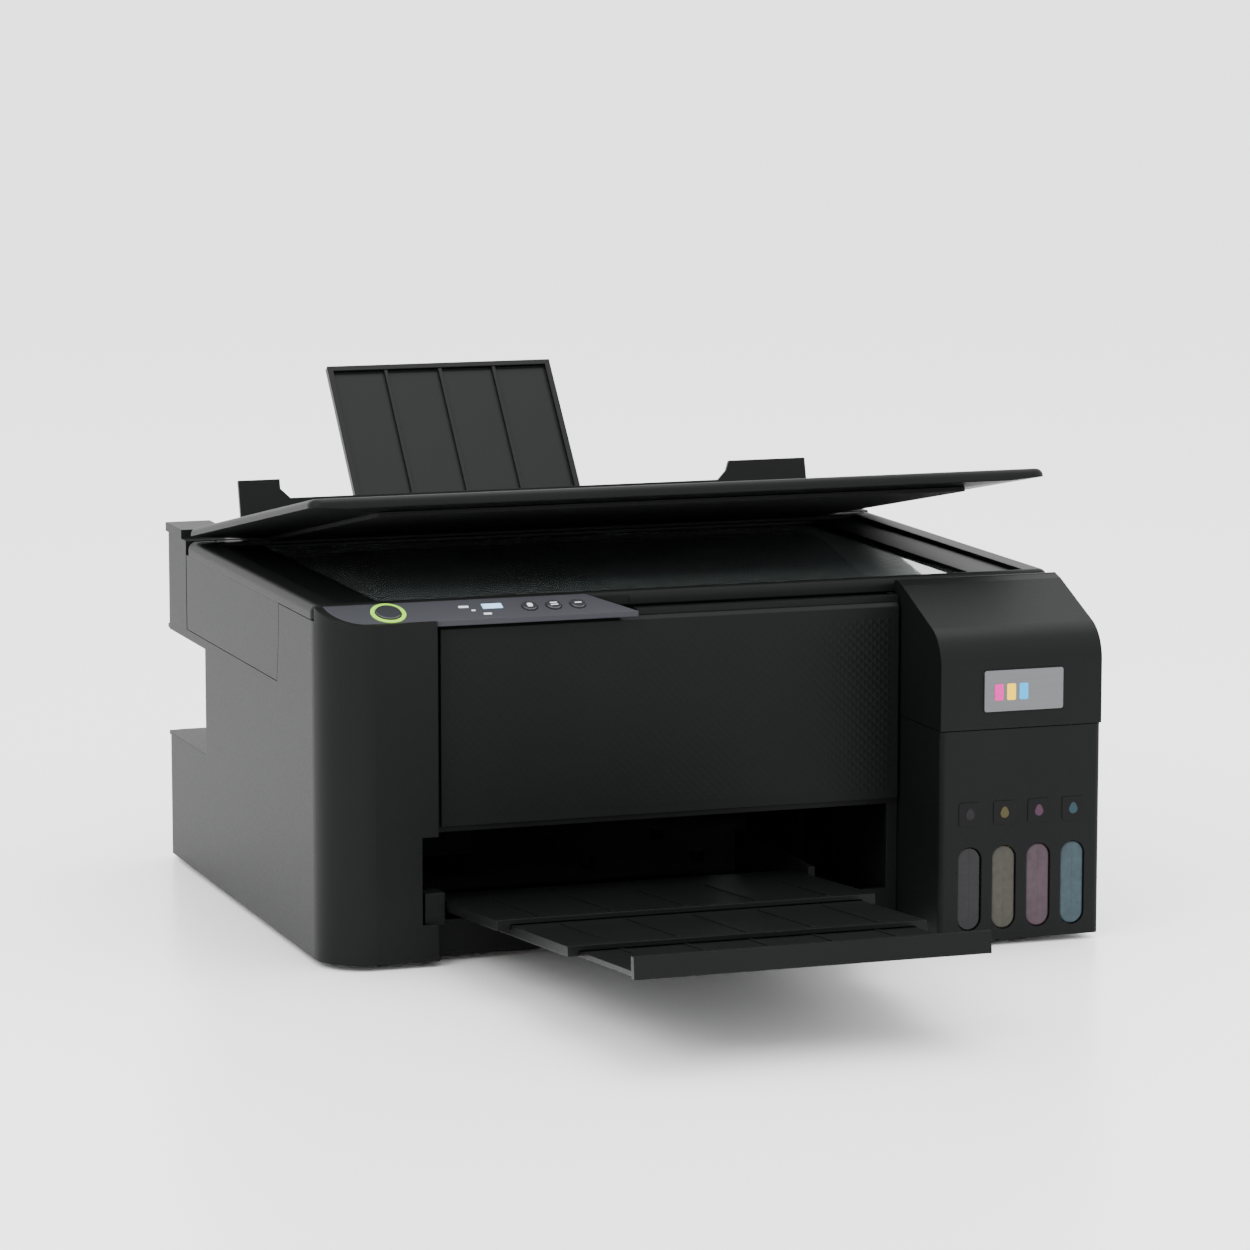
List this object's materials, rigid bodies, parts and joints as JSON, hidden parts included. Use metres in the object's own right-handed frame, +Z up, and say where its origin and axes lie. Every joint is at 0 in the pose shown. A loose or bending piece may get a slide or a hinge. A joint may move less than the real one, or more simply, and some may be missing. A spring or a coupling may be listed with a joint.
{
  "type": "inkjet printer",
  "caption": "All-in-one supertank inkjet printer with flatbed scanner, lifting lid, refillable ink tanks, rear sheet feeder and telescoping output tray",
  "frame": {"origin": "bottom centre of the box round the printer at rest, tray out and paper support up", "axes": "X to the right, Y to the back, Z up"},
  "size_m": [0.375, 0.5841, 0.2502],
  "materials": {
    "housing": "moulded",
    "trim": "moulded",
    "key": "moulded",
    "glass": "plain",
    "lens": "moulded",
    "inner": "moulded",
    "pad": "moulded",
    "steel": "plain",
    "rubber": "plain",
    "board": "moulded",
    "tank_black": "moulded",
    "tank_yellow": "moulded",
    "tank_magenta": "moulded",
    "tank_cyan": "moulded"
  },
  "bodies": {
    "chassis": {"main_housing": "housing", "base_tray": "inner", "rubber_feet": "rubber", "front_panel": "housing", "control_panel": "trim", "status_window": "lens", "tank_housing": "housing", "right_side_cover": "housing", "rear_cover": "housing", "scanner_pivots": "steel", "feeder_back": "inner", "carriage_rail": "steel", "carriage_belt": "rubber", "drive_motors": "steel", "platen": "inner", "power_supply": "inner", "mainboard": "board", "mains_inlet": "inner", "ink_tank_black": "tank_black", "ink_tank_yellow": "tank_yellow", "ink_tank_magenta": "tank_magenta", "ink_tank_cyan": "tank_cyan"},
    "scanner_unit": {"scanner_base": "housing", "scanner_top_frame": "housing", "scanner_glass": "glass", "scan_rod": "steel", "scan_belt": "rubber"},
    "scan_carriage": {"scan_carriage": "inner"},
    "scan_drive_pulley": {"scan_pulley_left": "inner"},
    "scan_idler_pulley": {"scan_pulley_right": "inner"},
    "cover_hinges": {"cover_hinges": "housing"},
    "document_cover": {"document_cover": "housing", "document_pad": "pad"},
    "tank_cover": {"tank_cover": "housing"},
    "feeder_guard": {"feeder_guard": "housing"},
    "paper_hopper": {"paper_hopper": "inner"},
    "paper_support": {"paper_support": "inner"},
    "edge_guide_left": {"edge_guide_left": "inner"},
    "edge_guide_right": {"edge_guide_right": "inner"},
    "tray_stage_1": {"tray_stage_1": "housing"},
    "tray_stage_2": {"tray_stage_2": "housing"},
    "tray_stage_3": {"tray_stage_3": "housing"},
    "tray_stopper": {"tray_stopper": "housing"},
    "print_carriage": {"print_carriage": "inner", "print_head": "inner"},
    "carriage_drive_pulley": {"carriage_drive_pulley": "steel"},
    "carriage_idler_pulley": {"carriage_idler_pulley": "inner"},
    "feed_roller": {"feed_roller": "rubber"},
    "eject_roller": {"eject_roller": "rubber"},
    "pinch_rollers": {"pinch_rollers": "rubber"},
    "pickup_roller": {"pickup_roller": "rubber"},
    "capping_station": {"capping_station": "inner"},
    "power_button": {"power_button": "key"},
    "copy_button": {"copy_button": "key"},
    "scan_button": {"scan_button": "key"},
    "cancel_button": {"cancel_button": "key"},
    "tank_cap_black": {"tank_cap_black": "tank_black"},
    "tank_cap_yellow": {"tank_cap_yellow": "tank_yellow"},
    "tank_cap_magenta": {"tank_cap_magenta": "tank_magenta"},
    "tank_cap_cyan": {"tank_cap_cyan": "tank_cyan"}
  },
  "joints": [
    {"name": "scanner_lift", "type": "hinge", "parent": "chassis", "child": "scanner_unit", "pos_m": [0, 0.203, 0.168], "axis": [-1, 0, 0], "range_deg": [0, 30]},
    {"name": "cover_hinge_rise", "type": "slide", "parent": "scanner_unit", "child": "cover_hinges", "axis": [0, 0, 1], "range_m": [0, 0.01]},
    {"name": "cover_swing", "type": "hinge", "parent": "cover_hinges", "child": "document_cover", "pos_m": [0, 0.2005, 0.1759], "axis": [-1, 0, 0], "range_deg": [-10.4, 59.5]},
    {"name": "scan_travel", "type": "slide", "parent": "scanner_unit", "child": "scan_carriage", "axis": [1, 0, 0], "range_m": [0, 0.29]},
    {"name": "scan_drive_spin", "type": "hinge", "parent": "scanner_unit", "child": "scan_drive_pulley", "pos_m": [-0.164, 0.1, 0.155], "axis": [0, 0, 1], "continuous": true},
    {"name": "scan_idler_spin", "type": "hinge", "parent": "scanner_unit", "child": "scan_idler_pulley", "pos_m": [0.164, 0.1, 0.155], "axis": [0, 0, 1], "continuous": true},
    {"name": "tank_cover_swing", "type": "hinge", "parent": "chassis", "child": "tank_cover", "pos_m": [0.14575, -0.038, 0.168], "axis": [-1, 0, 0], "range_deg": [0, 75]},
    {"name": "tank_cap_black_swing", "type": "hinge", "parent": "chassis", "child": "tank_cap_black", "pos_m": [0.1195, -0.048, 0.1092], "axis": [-1, 0, 0], "range_deg": [0, 80]},
    {"name": "tank_cap_yellow_swing", "type": "hinge", "parent": "chassis", "child": "tank_cap_yellow", "pos_m": [0.1374, -0.048, 0.1092], "axis": [-1, 0, 0], "range_deg": [0, 80]},
    {"name": "tank_cap_magenta_swing", "type": "hinge", "parent": "chassis", "child": "tank_cap_magenta", "pos_m": [0.1553, -0.048, 0.1092], "axis": [-1, 0, 0], "range_deg": [0, 80]},
    {"name": "tank_cap_cyan_swing", "type": "hinge", "parent": "chassis", "child": "tank_cap_cyan", "pos_m": [0.1732, -0.048, 0.1092], "axis": [-1, 0, 0], "range_deg": [0, 80]},
    {"name": "feeder_guard_swing", "type": "hinge", "parent": "chassis", "child": "feeder_guard", "pos_m": [0, 0.2135, 0.168], "axis": [-1, 0, 0], "range_deg": [-14, 5]},
    {"name": "paper_support_slide", "type": "slide", "parent": "chassis", "child": "paper_support", "axis": [0, 0.6428, 0.766], "range_m": [-0.1, 0]},
    {"name": "hopper_swing", "type": "hinge", "parent": "chassis", "child": "paper_hopper", "pos_m": [-0.026, 0.21369, 0.15986], "axis": [-1, 0, 0], "range_deg": [0, 1.8]},
    {"name": "edge_guide_left_slide", "type": "slide", "parent": "paper_hopper", "child": "edge_guide_left", "axis": [1, 0, 0], "range_m": [0, 0.055]},
    {"name": "edge_guide_right_slide", "type": "slide", "parent": "paper_hopper", "child": "edge_guide_right", "axis": [1, 0, 0], "range_m": [-0.055, 0]},
    {"name": "tray_stage_1_slide", "type": "slide", "parent": "chassis", "child": "tray_stage_1", "axis": [0, -0.9965, 0.0837], "range_m": [-0.08, 0]},
    {"name": "tray_stage_2_slide", "type": "slide", "parent": "tray_stage_1", "child": "tray_stage_2", "axis": [0, -0.9965, 0.0837], "range_m": [-0.08, 0]},
    {"name": "tray_stage_3_slide", "type": "slide", "parent": "tray_stage_2", "child": "tray_stage_3", "axis": [0, -0.9965, 0.0837], "range_m": [-0.0765, 0]},
    {"name": "tray_stopper_swing", "type": "hinge", "parent": "tray_stage_3", "child": "tray_stopper", "pos_m": [-0.035, -0.28074, 0.04297], "axis": [1, 0, 0], "range_deg": [0, 95]},
    {"name": "carriage_travel", "type": "slide", "parent": "chassis", "child": "print_carriage", "axis": [1, 0, 0], "range_m": [-0.27, 0]},
    {"name": "carriage_drive_spin", "type": "hinge", "parent": "chassis", "child": "carriage_drive_pulley", "pos_m": [-0.168, 0.122, 0.106], "axis": [0, 1, 0], "continuous": true},
    {"name": "carriage_idler_spin", "type": "hinge", "parent": "chassis", "child": "carriage_idler_pulley", "pos_m": [0.168, 0.122, 0.106], "axis": [0, 1, 0], "continuous": true},
    {"name": "feed_spin", "type": "hinge", "parent": "chassis", "child": "feed_roller", "pos_m": [-0.026, 0.133, 0.06], "axis": [1, 0, 0], "continuous": true},
    {"name": "eject_spin", "type": "hinge", "parent": "chassis", "child": "eject_roller", "pos_m": [-0.026, 0.069, 0.059], "axis": [1, 0, 0], "continuous": true},
    {"name": "pinch_spin", "type": "hinge", "parent": "chassis", "child": "pinch_rollers", "pos_m": [-0.026, 0.133, 0.0699], "axis": [1, 0, 0], "continuous": true},
    {"name": "pickup_spin", "type": "hinge", "parent": "chassis", "child": "pickup_roller", "pos_m": [-0.026, 0.1464, 0.1119], "axis": [1, 0, 0], "continuous": true},
    {"name": "capping_rise", "type": "slide", "parent": "chassis", "child": "capping_station", "axis": [0, 0, 1], "range_m": [-0.006, 0]},
    {"name": "power_button_press", "type": "slide", "parent": "chassis", "child": "power_button", "axis": [0, 0.3907, -0.9205], "range_m": [0, 0.0008], "stiffness_N_per_m": 400},
    {"name": "copy_button_press", "type": "slide", "parent": "chassis", "child": "copy_button", "axis": [0, 0.3907, -0.9205], "range_m": [0, 0.0008], "stiffness_N_per_m": 400},
    {"name": "scan_button_press", "type": "slide", "parent": "chassis", "child": "scan_button", "axis": [0, 0.3907, -0.9205], "range_m": [0, 0.0008], "stiffness_N_per_m": 400},
    {"name": "cancel_button_press", "type": "slide", "parent": "chassis", "child": "cancel_button", "axis": [0, 0.3907, -0.9205], "range_m": [0, 0.0008], "stiffness_N_per_m": 400}
  ],
  "couplings": [
    {"joint": "scan_drive_spin", "follows": "scan_travel", "rad_per_m": 250},
    {"joint": "scan_idler_spin", "follows": "scan_travel", "rad_per_m": 250},
    {"joint": "carriage_drive_spin", "follows": "carriage_travel", "rad_per_m": -166.67},
    {"joint": "carriage_idler_spin", "follows": "carriage_travel", "rad_per_m": -166.67},
    {"joint": "edge_guide_right_slide", "follows": "edge_guide_left_slide", "ratio": -1},
    {"joint": "eject_spin", "follows": "feed_spin", "ratio": 1.2},
    {"joint": "pinch_spin", "follows": "feed_spin", "ratio": -1.7143}
  ]
}
